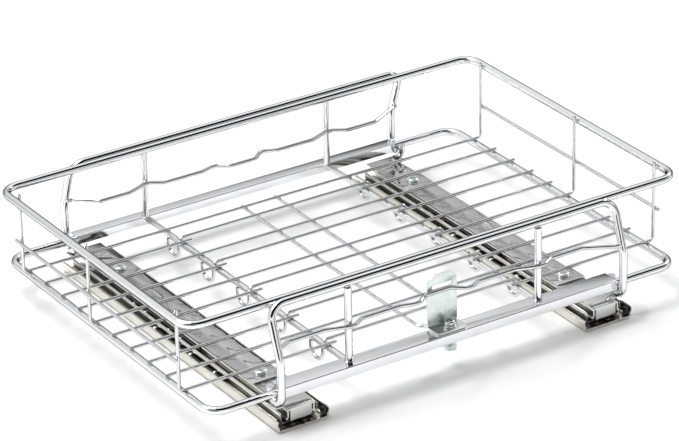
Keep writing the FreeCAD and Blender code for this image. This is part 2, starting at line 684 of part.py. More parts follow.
for side, sign in (("left", -1), ("right", 1)):
    centre = f"{'-' if sign < 0 else ''}sizes.rail_spacing / 2"
    cx = sign * rail_x
    outer = sheet_bar(f"{side}_outer_rail", wall_o, outer_half, wall_o / 2, "sizes.rail_length",
                      (centre, RAIL_FRONT, 0))
    mount_spots = [(0, rail_length * (0.5 + part)) for part in hole_rows]
    drill(outer, f"{side}_outer_holes", mount_spots, 4.5, -1, wall_o + 2)
    sheet_bar(f"{side}_middle_rail", wall_i, middle_half, web_z, MIDDLE_LENGTH,
              (centre, f"{RAIL_FRONT} + 5", 0))

    inner = sheet_bar(f"{side}_inner_rail", wall_i, inner_half, inner_web_z, INNER_LENGTH,
                      (centre, f"{RAIL_FRONT} + 2.5", 0))
    screw_spots = [(0, part * screw_reach - inner_front) for part in (-1, 1)]
    drill(inner, f"{side}_inner_holes", screw_spots, bolt + 0.5, inner_top - wall_i - 1, wall_i + 2)
    tab_sketch = new_sketch(inner, f"{side}_tab_face", "XZ_Plane")
    tab = [(-7.4, inner_top - 0.4), (7.4, inner_top - 0.4), (7.4, 4.3), (-7.4, 4.3)]
    for i in range(4):
        (ax, ay), (bx, by) = tab[i], tab[(i + 1) % 4]
        tab_sketch.addGeometry(Part.LineSegment(Vector(ax, ay, 0), Vector(bx, by, 0)), False)
    pad(inner, tab_sketch, "sizes.inner_wall", True)

    # lower retainer: a thin tie between the webs, with a strip up each side
    bar = Part.makeBox(2 * race_x + 0.8, retainer_length, 0.5,
                       Vector(cx - race_x - 0.4, lower_begin, wall_o + 0.25))
    for flip in (-1, 1):
        strip = Part.makeBox(0.8, retainer_length, race_z + 1.0 - wall_o - 0.25,
                             Vector(cx + flip * race_x - 0.4, lower_begin, wall_o + 0.25))
        bar = bar.fuse(strip)
    places = ball_places(lower_begin, retainer_length, ball_count)
    for y in places:
        bar = bar.cut(Part.makeCylinder(ball + 0.12, 2 * race_x + 10, Vector(cx - race_x - 5, y, race_z),
                                        Vector(1, 0, 0)))
    solid_part(f"{side}_lower_retainer", bar.removeSplitter())
    solid_part(f"{side}_lower_balls", row_of_balls(cx, race_x, race_z, ball, places))

    # upper retainer: one strip beside each wall of the inner rail
    places = ball_places(upper_begin, retainer_length, ball_count)
    strips = []
    for flip in (-1, 1):
        strip = Part.makeBox(0.7, retainer_length, 3.4,
                             Vector(cx + flip * (upper_x - 0.6) - 0.35, upper_begin, upper_z - 0.6))
        for y in places:
            strip = strip.cut(Part.makeCylinder(small + 0.12, 4, Vector(cx + flip * upper_x - 2, y, upper_z),
                                                Vector(1, 0, 0)))
        strips.append(strip)
    solid_part(f"{side}_upper_retainer", Part.makeCompound(strips))
    solid_part(f"{side}_upper_balls", row_of_balls(cx, upper_x, upper_z, small, places))

    # carrier: a strip on the inner rail, with an ear under each hoop's foot
    half_width = size("carrier_width") / 2
    ear = hoop_x + rod / 2 - rail_x
    ear_back = carrier_half_length - 8.0
    outline = [
        (-half_width, -carrier_half_length), (ear, -carrier_half_length), (ear, -ear_back),
        (half_width, -ear_back), (half_width, ear_back), (ear, ear_back),
        (ear, carrier_half_length), (-half_width, carrier_half_length),
    ]
    ring = [Vector(cx + sign * x, y, carrier_top - carrier_wall) for x, y in outline]
    carrier = Part.Face(Part.makePolygon(ring + ring[:1])).extrude(Vector(0, 0, carrier_wall))
    for part in (-1, 1):
        carrier = carrier.cut(Part.makeCylinder(bolt / 2 + 0.25, 6,
                                                Vector(cx, part * screw_reach, carrier_top - 3)))
    solid_part(f"{side}_carrier", carrier)

pads = []
screws = []
pad_wide = size("pad_width")
pad_long = size("pad_length")
for sign in (-1, 1):
    for part in (-1, 1):
        x, y = sign * rail_x, part * screw_reach
        plate = Part.makeBox(pad_wide, pad_long, 1.0,
                             Vector(x - pad_wide / 2, y - pad_long / 2, carrier_top))
        pads.append(plate.cut(Part.makeCylinder(bolt / 2 + 0.25, 3, Vector(x, y, carrier_top - 1))))
        screws.append(pan_screw(x, y, carrier_top + 1.0, carrier_wall + 4.0, 4.0, 2.2))
solid_part("carrier_pads", Part.makeCompound(pads))
solid_part("carrier_screws", Part.makeCompound(screws))

# ---------------------------------------------------------------- check and write
doc.recompute()
for obj in doc.Objects:
    for word in ("Invalid", "Error"):
        if word in obj.State:
            raise RuntimeError(f"{obj.Name} is {word}")
for obj in parts:
    shape = obj.Shape
    if shape.isNull() or not shape.isValid() or not shape.Solids:
        raise RuntimeError(f"{obj.Label} has no valid solid")
    if not isinstance(shape, Part.Compound) and shape.Volume <= 0:
        raise RuntimeError(f"{obj.Label} is inside out")
    shape.exportStep(f"parts/{obj.Label}.step")
print(len(parts), "parts")
for obj in parts:
    box = obj.Shape.BoundBox
    print(f"{obj.Label:26s} {len(obj.Shape.Solids):2d} {obj.Shape.Volume:9.1f}  "
          f"x {box.XMin:7.1f} {box.XMax:7.1f}  y {box.YMin:7.1f} {box.YMax:7.1f}  "
          f"z {box.ZMin:6.1f} {box.ZMax:6.1f}")
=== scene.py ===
import bpy
import bmesh
import json
import math
from mathutils import Matrix, Vector


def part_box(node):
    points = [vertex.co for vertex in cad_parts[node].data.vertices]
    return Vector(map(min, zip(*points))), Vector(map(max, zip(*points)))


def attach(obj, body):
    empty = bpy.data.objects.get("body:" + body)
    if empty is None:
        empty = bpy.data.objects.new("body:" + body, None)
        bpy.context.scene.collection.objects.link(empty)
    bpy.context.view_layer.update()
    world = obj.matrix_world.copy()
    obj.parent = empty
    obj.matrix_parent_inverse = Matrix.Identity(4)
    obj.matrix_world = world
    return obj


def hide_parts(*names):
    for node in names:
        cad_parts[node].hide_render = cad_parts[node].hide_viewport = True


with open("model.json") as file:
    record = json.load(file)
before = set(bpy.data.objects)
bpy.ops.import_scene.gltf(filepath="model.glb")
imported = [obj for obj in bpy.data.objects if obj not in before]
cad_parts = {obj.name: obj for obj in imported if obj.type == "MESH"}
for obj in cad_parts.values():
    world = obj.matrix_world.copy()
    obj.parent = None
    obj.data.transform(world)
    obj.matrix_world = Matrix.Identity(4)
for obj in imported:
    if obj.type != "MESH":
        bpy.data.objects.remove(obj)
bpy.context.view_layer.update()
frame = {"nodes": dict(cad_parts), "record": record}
MM = 0.001


# ---------------------------------------------------------------- node graphs
class Val:
    """An output socket that can be used in Python sums."""

    def __init__(self, graph, socket):
        self.graph = graph
        self.socket = socket

    def _sum(self, operation, other, swapped=False):
        pair = (other, self) if swapped else (self, other)
        return self.graph.add("ShaderNodeMath", {"operation": operation}, pair)

    def __add__(self, other):
        return self._sum("ADD", other)

    def __radd__(self, other):
        return self._sum("ADD", other, True)

    def __sub__(self, other):
        return self._sum("SUBTRACT", other)

    def __rsub__(self, other):
        return self._sum("SUBTRACT", other, True)

    def __mul__(self, other):
        return self._sum("MULTIPLY", other)

    def __rmul__(self, other):
        return self._sum("MULTIPLY", other, True)


class Graph:
    """A node tree under construction: one method adds any node."""

    def __init__(self, tree):
        self.tree = tree
        self.nodes = tree.nodes
        self.links = tree.links

    def put(self, socket, value):
        if isinstance(value, Val):
            self.links.new(value.socket, socket)
        else:
            socket.default_value = value

    def add(self, kind, settings=None, inputs=(), output=0):
        """Adds any node: its settings first, then the values or links of its sockets."""
        node = self.nodes.new(kind)
        for key, setting in (settings or {}).items():
            if key == "ramp":
                ramp = node.color_ramp
                while len(ramp.elements) < len(setting):
                    ramp.elements.new(0.5)
                for stop, (place, level) in zip(ramp.elements, setting):
                    stop.position = place
                    stop.color = (level, level, level, 1)
            else:
                setattr(node, key, setting)
        entries = inputs.items() if isinstance(inputs, dict) else enumerate(inputs)
        for key, value in entries:
            self.put(node.inputs[key], value)
        return Val(self, node.outputs[output]) if len(node.outputs) else None

    def ramp(self, value, *stops):
        """Grey levels between stops, each (place, level)."""
        return self.add("ShaderNodeValToRGB", {"ramp": stops}, (value,))

    def axes(self, where):
        """X, Y and Z of a vector."""
        split = self.add("ShaderNodeSeparateXYZ", None, (where,)).socket.node
        return [Val(self, output) for output in split.outputs]


class Finish(Graph):
    """A surface finish."""

    def __init__(self, name):
        self.material = bpy.data.materials.new(name)
        self.material.use_nodes = True
        super().__init__(self.material.node_tree)
        self.shader = self.nodes["Principled BSDF"]

    def place(self, stretch=(1, 1, 1)):
        """Object coordinates in millimetres, stretched along each axis."""
        coordinates = self.add("ShaderNodeTexCoord", output=3)
        scale = tuple(s / MM for s in stretch)
        return self.add("ShaderNodeVectorMath", {"operation": "MULTIPLY"}, (coordinates, scale))

    def noise(self, where, scale, detail=3.0, roughness=0.55):
        return self.add("ShaderNodeTexNoise", None,
                        {"Vector": where, "Scale": scale, "Detail": detail, "Roughness": roughness})

    def blend(self, factor, first, second):
        """Colour mix."""
        first, second = (colour if isinstance(colour, Val) else (*colour, 1)
                         for colour in (first, second))
        return self.add("ShaderNodeMix", {"data_type": "RGBA"},
                        {0: factor, 6: first, 7: second}, output=2)

    def size(self, value):
        return self.add("ShaderNodeMath", {"operation": "ABSOLUTE"}, (value,))

    def bump(self, height, distance):
        return self.add("ShaderNodeBump", None,
                        {"Height": height, "Distance": distance, "Strength": 1.0})

    def set(self, **sockets):
        """Sets or links the shader's sockets and gives the material."""
        for key, value in sockets.items():
            socket = self.shader.inputs[key.replace("_", " ")]
            if socket.type == "RGBA" and not isinstance(value, Val):
                value = (*value, 1)
            self.put(socket, value)
        return self.material


# ---------------------------------------------------------------- finishes
def bright_plate(name, colour, haze=0.03, streak=(1, 1, 1), waves=0.7, rim=0.6):
    """Bright plating on drawn steel: faint waves, hairline scratches, dull patches."""
    f = Finish(name)
    where = f.place(streak)
    swell = f.noise(where, scale=0.09, detail=2.0)
    fine = f.noise(where, scale=1.7, detail=4.0, roughness=0.65)
    patches = f.ramp(f.noise(f.place(), scale=0.045, detail=5.0, roughness=0.6),
                     (0.45, 0.0), (0.75, 1.0))
    tint = f.blend(patches * 0.35, colour, tuple(c * 0.82 for c in colour))
    height = swell * waves + fine * 0.025
    return f.set(Base_Color=tint, Metallic=1.0, Roughness=haze + patches * 0.05 + fine * 0.03,
                 Specular_Tint=(rim, rim, rim), Normal=f.bump(height, 0.00012))


def rolled_rail(name, colour, shade, haze, tracks):
    """Nickel-toned rolled rail: drawn lines, specks, and painted shade, near black, in and around
    its ball tracks.

    Each track, round which the shade is painted, is (offset from the slide's middle, height,
    reach), in millimetres.
    """
    f = Finish(name)
    where = f.place()
    lines = f.noise(f.place((2.4, 0.02, 2.4)), scale=1.0, detail=5.0, roughness=0.7)
    cloud = f.ramp(f.noise(where, scale=0.06, detail=4.0, roughness=0.6),
                   (0.35, 0.0), (0.7, 1.0))
    specks = f.ramp(f.noise(where, scale=0.9, detail=2.0), (0.62, 0.0), (0.72, 1.0))
    tint = f.blend(cloud * 0.6, colour, shade)
    tint = f.blend(specks * 0.12, tint, tuple(c * 0.45 for c in colour))
    x, _, z = f.axes(where)
    off = f.size(f.size(x) - SLIDE_X)
    # Painted shade: a mask near each track, where the inside of the rail lies in shadow.
    track_shade_mask = None
    for offset, level, reach in tracks:
        away = f.add("ShaderNodeMath", {"operation": "POWER"},
                     ((off - offset) * (off - offset) + (z - level) * (z - level), 0.5))
        near = f.ramp((away - reach) * 0.5 + 0.5, (0.40, 1.0), (0.60, 0.0))
        if track_shade_mask is None:
            track_shade_mask = near
        else:
            track_shade_mask = f.add("ShaderNodeMath", {"operation": "MAXIMUM"}, (track_shade_mask, near))
    painted_track_shade = track_shade_mask * (0.82 + cloud * 0.18)
    # Painted shade: the tint goes near black within the mask, and the rail there gets rougher.
    tint = f.blend(painted_track_shade, tint, (0.022, 0.020, 0.016))
    return f.set(Base_Color=tint, Metallic=1.0,
                 Roughness=haze + lines * 0.12 + cloud * 0.05 + painted_track_shade * 0.2,
                 Normal=f.bump(lines, 0.00005))


def clear_zinc(name, colour, cool, haze=0.2):
    """Zinc plate with a clear passivation: cloudy pale tint over a soft mirror."""
    f = Finish(name)
    cloud = f.ramp(f.noise(f.place(), scale=0.16, detail=4.0, roughness=0.6),
                   (0.35, 0.0), (0.68, 1.0))
    grain = f.noise(f.place((1, 1, 3)), scale=1.3, detail=5.0, roughness=0.7)
    tint = f.blend(cloud * 0.8, colour, cool)
    return f.set(Base_Color=tint, Metallic=1.0, Roughness=haze + grain * 0.14 + cloud * 0.05,
                 Normal=f.bump(grain, 0.00005))


def black_nylon(name):
    """Moulded nylon with a fine dull grain."""
    f = Finish(name)
    grain = f.noise(f.place(), scale=3.0, detail=4.0, roughness=0.6)
    tint = f.blend(grain, (0.012, 0.012, 0.013), (0.03, 0.03, 0.032))
    return f.set(Base_Color=tint, Roughness=0.42 + grain * 0.2, Normal=f.bump(grain, 0.00004))


low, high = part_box("left_outer_rail")
SLIDE_X = -(low[0] + high[0]) / 2 / MM
LOWER_BALLS = (14.9, 5.4)       # offset from the slide's middle, height
chrome = bright_plate("bright_rod_plate", (0.93, 0.935, 0.945), rim=0.0)
wire_chrome = bright_plate("bright_wire_plate", (0.80, 0.805, 0.815), 0.03, rim=0.0)
strip_chrome = bright_plate("bright_strip_plate", (0.92, 0.93, 0.95), 0.10, (0.15, 1, 1))
carrier_chrome = bright_plate("bright_carrier_plate", (0.66, 0.655, 0.66), 0.08, (1, 0.12, 1), 0.1)
weld_metal = bright_plate("plated_weld", (0.80, 0.805, 0.815), 0.12, (3, 3, 3), 1.5)
# The tuples after the haze say where each rail gets painted shade in its tracks.
outer_steel = rolled_rail("outer_rail_nickel", (0.76, 0.75, 0.69), (0.64, 0.625, 0.56), 0.15,
                          ((*LOWER_BALLS, 2.6), (0.0, 7.8, 6.8), (8.0, 6.0, 4.9)))
middle_steel = rolled_rail("middle_rail_nickel", (0.78, 0.77, 0.71), (0.60, 0.59, 0.54), 0.15,
                           ((*LOWER_BALLS, 2.6), (0.0, 8.0, 6.6), (7.5, 6.4, 4.6)))
inner_steel = rolled_rail("inner_rail_nickel", (0.80, 0.81, 0.77), (0.64, 0.65, 0.60), 0.12,
                          ((10.9, 7.7, 1.6),))
bracket_zinc = clear_zinc("bracket_zinc", (0.85, 0.90, 0.86), (0.74, 0.81, 0.77))
screw_zinc = clear_zinc("screw_zinc", (0.80, 0.84, 0.83), (0.66, 0.72, 0.71), 0.14)
cage_zinc = clear_zinc("ball_cage_zinc", (0.16, 0.16, 0.155), (0.07, 0.07, 0.07), 0.3)
ball_metal = bright_plate("bearing_ball", (0.55, 0.55, 0.56), 0.06)
nylon = black_nylon("rail_stop_nylon")

SLOT_FINISH = {
    "chrome_rod": chrome,
    "chrome_wire": wire_chrome,
    "chrome_strip": strip_chrome,
    "carrier_chrome": carrier_chrome,
    "cover_chrome": carrier_chrome,
    "zinc_bracket": bracket_zinc,
    "screw_steel": screw_zinc,
    "outer_rail_steel": outer_steel,
    "middle_rail_steel": middle_steel,
    "inner_rail_steel": inner_steel,
    "retainer_zinc": cage_zinc,
    "ball_steel": ball_metal,
}
node_slot = {entry["node"]: entry["material_slot"] for entry in frame["record"]["subparts"]}
node_body = {node: body for body, nodes in frame["record"]["behaviour"]["bodies"].items()
             for node in nodes}
for node, thing in frame["nodes"].items():
    for i in range(len(thing.material_slots)):
        thing.material_slots[i].material = SLOT_FINISH[node_slot[node]]


# ---------------------------------------------------------------- repeated and bent shapes
SHARP_FROM = math.radians(40)


class Shape(Graph):
    """A geometry tree with named inputs, run once on some points or paths."""

    def __init__(self, name, **inputs):
        tree = bpy.data.node_groups.new(name, "GeometryNodeTree")
        super().__init__(tree)
        tree.interface.new_socket("Geometry", in_out="INPUT", socket_type="NodeSocketGeometry")
        for key, kind in inputs.items():
            tree.interface.new_socket(key, in_out="INPUT", socket_type=f"NodeSocket{kind}")
        tree.interface.new_socket("Geometry", in_out="OUTPUT", socket_type="NodeSocketGeometry")
        self.source = self.add("NodeGroupInput").socket.node

    def input(self, name):
        return Val(self, self.source.outputs[name])

    def attribute(self, name):
        return self.add("GeometryNodeInputNamedAttribute", {"data_type": "FLOAT"}, {"Name": name})

    def end(self, geometry):
        """Ends the tree: one real, smooth mesh in its finish."""
        real = self.add("GeometryNodeRealizeInstances", None, (geometry,))
        smooth = self.add("GeometryNodeSetShadeSmooth", None, {"Geometry": real})
        dressed = self.add("GeometryNodeSetMaterial", None,
                           {"Geometry": smooth, "Material": self.input("Finish")})
        self.add("NodeGroupOutput", None, (dressed,))

    def run(self, name, mesh, **values):
        """Runs the tree on a mesh and gives a new object with the result."""
        seed = bpy.data.objects.new(name + "_seed", mesh)
        bpy.context.collection.objects.link(seed)
        modifier = seed.modifiers.new("shape", "NODES")
        modifier.node_group = self.tree
        for item in self.tree.interface.items_tree:
            if item.in_out == "INPUT" and item.name in values:
                modifier[item.identifier] = values[item.name]
        graph = bpy.context.evaluated_depsgraph_get()
        made = bpy.data.meshes.new_from_object(seed.evaluated_get(graph))
        bpy.data.objects.remove(seed)
        made.name = name
        made.set_sharp_from_angle(angle=SHARP_FROM)
        thing = bpy.data.objects.new(name, made)
        bpy.context.collection.objects.link(thing)
        return thing


def bent_bar_tree():
    """Paths with a bend radius at each point become round bars with flat ends."""
    s = Shape("bent_bar", Sides="Int", Steps="Int", Finish="Material")
    path = s.add("GeometryNodeMeshToCurve", None, (s.input("Geometry"),))
    bend = s.add("GeometryNodeFilletCurve", {"mode": "POLY"},
                 {"Curve": path, "Count": s.input("Steps"), "Radius": s.attribute("bend")})
    even = s.add("GeometryNodeSetCurveRadius", None, {"Curve": bend, "Radius": 1.0})
    ring = s.add("GeometryNodeCurvePrimitiveCircle", None,
                 {"Resolution": s.input("Sides"), "Radius": 1.0})
    bar = s.add("GeometryNodeCurveToMesh", None,
                {"Curve": even, "Profile Curve": ring, "Scale": s.attribute("thick"),
                 "Fill Caps": True})
    s.end(bar)
    return s


def bead_tree():
    """A flattened round bead at each point."""
    s = Shape("weld_bead", Finish="Material")
    ball = s.add("GeometryNodeMeshIcoSphere", None, {"Radius": 1.0, "Subdivisions": 3})
    scale = s.add("ShaderNodeCombineXYZ", None,
                  (s.attribute("wide"), s.attribute("deep"), s.attribute("tall")))
    beads = s.add("GeometryNodeInstanceOnPoints", None,
                  {"Points": s.input("Geometry"), "Instance": ball, "Scale": scale})
    s.end(beads)
    return s


def ball_tree():
    """A ball at each point."""
    s = Shape("ball_row", Size="Float", Finish="Material")
    ball = s.add("GeometryNodeMeshIcoSphere", None, {"Radius": s.input("Size"), "Subdivisions": 4})
    balls = s.add("GeometryNodeInstanceOnPoints", None,
                  {"Points": s.input("Geometry"), "Instance": ball})
    s.end(balls)
    return s


bent_bar = bent_bar_tree()
weld_bead = bead_tree()
ball_row = ball_tree()


def seed_mesh(name, points, edges=(), **numbers):
    """Points and edges in millimetres, with a number per point under each name."""
    mesh = bpy.data.meshes.new(name)
    mesh.from_pydata([Vector(p) * MM for p in points], edges, [])
    for key, values in numbers.items():
        layer = mesh.attributes.new(key, "FLOAT", "POINT")
        layer.data.foreach_set("value", [v * MM for v in values])
    return mesh


ROD_SIDES, SUPPORT_SIDES, GUARD_SIDES, WIRE_SIDES = 28, 24, 20, 18
STEPS_IN_BEND = 9


def bars(name, paths, slot, sides, nodes):
    """One piece of the basket from bars: (points, bend radii, thickness, closed or not)."""
    points, edges, bend, thick = [], [], [], []
    for path, bends, across, closed in paths:
        first = len(points)
        points += path
        bend += bends
        thick += [across / 2] * len(path)
        edges += [(first + i, first + i + 1) for i in range(len(path) - 1)]
        if closed:
            edges.append((len(points) - 1, first))
    mesh = seed_mesh(name + "_paths", points, edges, bend=bend, thick=thick)
    thing = bent_bar.run(name, mesh, Sides=sides, Steps=STEPS_IN_BEND, Finish=SLOT_FINISH[slot])
    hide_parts(*nodes)
    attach(thing, "basket")


def span(node):
    """Lowest and highest corner of a CAD node, in millimetres."""
    low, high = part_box(node)
    return Vector(low) / MM, Vector(high) / MM


def along(path, radius=0.0):
    """Bend radii for a path: none at its ends, the same at its inner points."""
    return [0.0] + [radius] * (len(path) - 2) + [0.0]


# ---------------------------------------------------------------- sizes read from the CAD nodes
low, high = span("top_rim")
rod = high.z - low.z
rim_x, rim_y, rim_z = high.x - rod / 2, high.y - rod / 2, (low.z + high.z) / 2
low, high = span("bottom_rim")
base_x, base_y, base_z = high.x - rod / 2, high.y - rod / 2, (low.z + high.z) / 2
low, high = span("floor_wire_3")
wire = high.z - low.z
floor_z = (low.z + high.z) / 2
wire_end = high.x
row_3 = (low.y + high.y) / 2
low, high = span("floor_wire_7")
pitch = (row_3 - (low.y + high.y) / 2) / 4
low, high = span("rear_upright_wire")
upright_x, upright_top = high.x - wire / 2, high.z
low, high = span("left_support_rod")
support = high.x - low.x
support_x = -(low.x + high.x) / 2
support_z = (low.z + high.z) / 2
stub_end = -span("left_stub_wires")[1].x


def row(number):
    """Place of floor wire 1 (back) to 10 (front)."""
    return (5.5 - number) * pitch


# ---------------------------------------------------------------- rims
def ring_path(x, y, z):
    """The four corners of a closed rod."""
    return [(-x, -y, z), (x, -y, z), (x, y, z), (-x, y, z)]


RIM_CORNER = 11.0
for name, x, y, z in (("top_rim", rim_x, rim_y, rim_z), ("bottom_rim", base_x, base_y, base_z)):
    bars(name + "_rod", [(ring_path(x, y, z), [RIM_CORNER] * 4, rod, True)],
         "chrome_rod", ROD_SIDES, [name])

# ---------------------------------------------------------------- end frames
ENDS = {"front": -1, "rear": 1}
KNEE = 44.0                     # height where the legs start to lean inwards
KNEE_BEND, TOP_BEND, GUARD_BEND = 18.0, 10.0, 3.0
PLAY = 0.05                     # between pieces that lie against each other
low, high = span("front_hoop")
hoop_x = high.x - rod / 2
hook = rod + 1.0                # the hoops' feet pass this far under the bottom rim
leg_y = base_y + hook
bar_y = rim_y + rod
hoop_z = rim_z + 0.65
low, high = span("front_left_strut")
strut = high.x - low.x
strut_y = -(low.y + high.y) / 2
strut_low, strut_high = low.z, high.z
strut_x = {side: sum(span(f"front_{side}_strut")[i].x for i in (0, 1)) / 2
           for side in ("left", "right")}
low, high = span("front_guard_wire")
guard, guard_z = high.z - low.z, (low.z + high.z) / 2
slope = (leg_y - bar_y) / (hoop_z - KNEE)
leg_there = leg_y - (guard_z - KNEE) * slope
end_y = leg_there - (rod + guard) / 2 * math.hypot(1, slope) - PLAY
beside = (strut + guard) / 2 + PLAY
KINK_Y = {"front": strut_y + beside, "rear": strut_y - beside}


def kinked_plan(straight, kink_y, run, right_end):
    """Plan of a kinked wire between the legs of a hoop, as distances from the middle."""
    def kink(x):
        return [(x - 16, straight), (x - 2.5, kink_y), (x + 2.5, kink_y), (x + 10, straight)]

    seat = straight - 3.0       # where it passes the catch bracket
    return ([(-hoop_x, end_y), (-hoop_x + 2.5, end_y), (-hoop_x + run, straight)]
            + kink(strut_x["left"])
            + [(-33.0, straight), (-25.0, straight + 2.5), (-20.5, straight + 2.5), (-13.5, seat),
               (5.0, seat), (12.5, straight + 3.4), (16.5, straight + 3.4), (23.0, straight)]
            + kink(strut_x["right"])
            + [(hoop_x - 24, straight)] + right_end)


butt = (hoop_x - rod / 2 - 0.02, leg_there + 1.2)
GUARD_PLAN = {
    "front": kinked_plan(strut_y - 1.0, KINK_Y["front"], 12, [(hoop_x - 6, butt[1]), butt]),
    "rear": kinked_plan(strut_y - 8.7, KINK_Y["rear"], 16,
                        [(hoop_x - 2.5, end_y), (hoop_x, end_y)]),
}


def end_frame(end, way):
    """A hoop hooked under the bottom rim, its two struts and the kinked wire between its legs."""
    half = [
        (-hoop_x, way * (base_y - hook), base_z + 2.4),
        (-hoop_x, way * (base_y - hook), base_z - hook),
        (-hoop_x, way * leg_y, base_z - hook),
        (-hoop_x, way * leg_y, KNEE),
        (-hoop_x, way * bar_y, hoop_z),
    ]
    hoop = half + [(-x, y, z) for x, y, z in reversed(half)]
    turns = [0.0, hook - 0.01, hook - 0.01, KNEE_BEND, TOP_BEND]
    paths = [(hoop, turns + turns[::-1], rod, False)]
    for x in strut_x.values():
        upright = [(x, way * strut_y, strut_low), (x, way * strut_y, strut_high)]
        paths.append((upright, along(upright), strut, False))
    bars(f"{end}_hoop_and_struts", paths, "chrome_rod", ROD_SIDES,
         [f"{end}_hoop", f"{end}_left_strut", f"{end}_right_strut"])
    kinked = [(x, way * y, guard_z) for x, y in GUARD_PLAN[end]]
    bars(f"{end}_kinked_wire", [(kinked, along(kinked, GUARD_BEND), guard, False)],
         node_slot[f"{end}_guard_wire"], GUARD_SIDES, [f"{end}_guard_wire"])


for end, way in ENDS.items():
    end_frame(end, way)

# ---------------------------------------------------------------- floor, uprights and side wires
FOLD = 3.0


def upright(x, y, far):
    """Down inside the rim at x, then across the floor as far as the given place."""
    path = [(x, y, upright_top), (x, y, floor_z), (far, y, floor_z)]
    return path, along(path, FOLD), wire, False


back = [(-upright_x, row(1), upright_top), (-upright_x, row(1), floor_z),
        (upright_x, row(1), floor_z), (upright_x, row(1), upright_top)]
bars("upright_wires",
     [(back, along(back, FOLD), wire, False), upright(-upright_x, row(5), wire_end),
      upright(upright_x, row(6), stub_end), upright(-upright_x, row(10), -stub_end),
      upright(upright_x, row(10), stub_end)],
     "chrome_wire", WIRE_SIDES,
     ["rear_upright_wire", "left_upright_wire", "right_upright_wire",
      "front_left_upright_wire", "front_right_upright_wire"])

straight = []
for number in (3, 7, 9):
    straight.append([(-wire_end, row(number), floor_z), (wire_end, row(number), floor_z)])
for number in (2, 4, 6, 8):
    straight.append([(-wire_end, row(number), floor_z), (-stub_end, row(number), floor_z)])
for number in (2, 4, 8):
    straight.append([(wire_end, row(number), floor_z), (stub_end, row(number), floor_z)])
bars("floor_wires", [(path, along(path), wire, False) for path in straight],
     "chrome_wire", WIRE_SIDES,
     ["floor_wire_3", "floor_wire_7", "floor_wire_9", "left_stub_wires", "right_stub_wires"])

low, high = span("left_side_wire")
side_z, side_y, side_x = (low.z + high.z) / 2, high.y, -(low.x + high.x) / 2
straight = [[(x, -side_y, side_z), (x, side_y, side_z)] for x in (-side_x, side_x)]
bars("side_wires", [(path, along(path), wire, False) for path in straight],
     "chrome_wire", WIRE_SIDES, ["left_side_wire", "right_side_wire"])

raised_z = span("raised_wire_2")[1].z - wire / 2
loop_low = base_z - 8.6
LOOP_BACK = 13.4                # the hanging loops' length, front to back
RAISED_ROWS = (2, 4, 6, 8, 10)
shoulder = support_x + support / 2 + wire / 2 + 0.3
hanging = []
for number in RAISED_ROWS:
    y = row(number) + wire + PLAY
    half = [(-shoulder, y + LOOP_BACK, base_z + 0.4), (-shoulder, y + LOOP_BACK, loop_low),
            (-shoulder, y, loop_low), (-shoulder, y, raised_z)]
    path = half + [(-x, y, z) for x, y, z in reversed(half)]
    turns = [0.0, LOOP_BACK / 2 - 0.05, LOOP_BACK / 2 - 0.05, FOLD]
    hanging.append((path, turns + turns[::-1], wire, False))
bars("raised_wires", hanging, "chrome_wire", WIRE_SIDES,
     [f"raised_wire_{number}" for number in RAISED_ROWS])

paths = []
for side in ("left", "right"):
    low, high = span(f"{side}_support_rod")
    x = (low.x + high.x) / 2
    path = [(x, low.y, support_z), (x, high.y, support_z)]
    paths.append((path, along(path), support, False))
bars("support_rods", paths, node_slot["left_support_rod"], SUPPORT_SIDES,
     ["left_support_rod", "right_support_rod"])
CENTRE_BEND = 5.0
low, high = span("centre_wire")
centre_left, centre_right = low.x + wire / 2, high.x - wire / 2
front, z = low.y + wire / 2, (low.z + high.z) / 2
path = [(centre_left, high.y, z), (centre_left, front, z),
        (centre_right, front, z), (centre_right, high.y, z)]
bars("centre_loop", [(path, along(path, CENTRE_BEND), wire, False)],
     "chrome_wire", WIRE_SIDES, ["centre_wire"])

# ---------------------------------------------------------------- weld beads at the crossings
beads = []


def bead(x, y, z, wide=1.5, deep=1.5, tall=1.0):
    """A bead at a place, with its half sizes along X, Y and Z."""
    beads.append((x, y, z, wide, deep, tall))


touch = floor_z - wire / 2
for number in (1, 3, 5, 7, 9):
    for x in (support_x, -support_x):
        bead(x, row(number), touch)
for number in range(2, 11):
    if number not in (6, 10):
        bead(base_x, row(number), touch)
    if number != 10:
        bead(-base_x, row(number), touch)
for number in RAISED_ROWS:
    for x in (support_x, -support_x):
        bead(x, row(number) + wire, base_z + rod / 2 + 0.3, 1.2, 1.3, 1.0)
for number in (1, 3, 5, 7, 9):
    for x in (centre_left, centre_right):
        bead(x, row(number), touch, 1.1, 1.1, 0.7)
for side, number in ((-1, 1), (1, 1), (-1, 5), (1, 6), (-1, 10), (1, 10)):
    bead(side * (rim_x - rod / 2), row(number), rim_z, 0.8, 1.5, 2.2)
    bead(side * (side_x + upright_x) / 2, row(number), side_z, 0.7, 1.3, 1.3)
for end, way in ENDS.items():
    for x in strut_x.values():
        bead(x, way * (strut_y - 0.6), rim_z - 0.8, 2.3, 1.9, 1.4)
        bead(x, way * (KINK_Y[end] + strut_y) / 2, guard_z, 1.8, 0.9, 1.2)
        bead(x, way * strut_y, strut_low, 2.9, 2.6, 0.8)
    bead(-hoop_x, way * (end_y + guard / 2), guard_z, 1.6, 1.2, 1.6)
    if end == "rear":
        bead(hoop_x, way * (end_y + guard / 2), guard_z, 1.6, 1.2, 1.6)
    else:
        bead(butt[0] + 0.3, -butt[1], guard_z, 1.1, 1.7, 1.6)
    for x in (-hoop_x + 18, 0, hoop_x - 18):
        bead(x, way * (rim_y + rod / 2), rim_z + 0.3, 3.2, 1.0, 1.3)
mesh = seed_mesh("bead_points", [b[:3] for b in beads], (), wide=[b[3] for b in beads],
                 deep=[b[4] for b in beads], tall=[b[5] for b in beads])
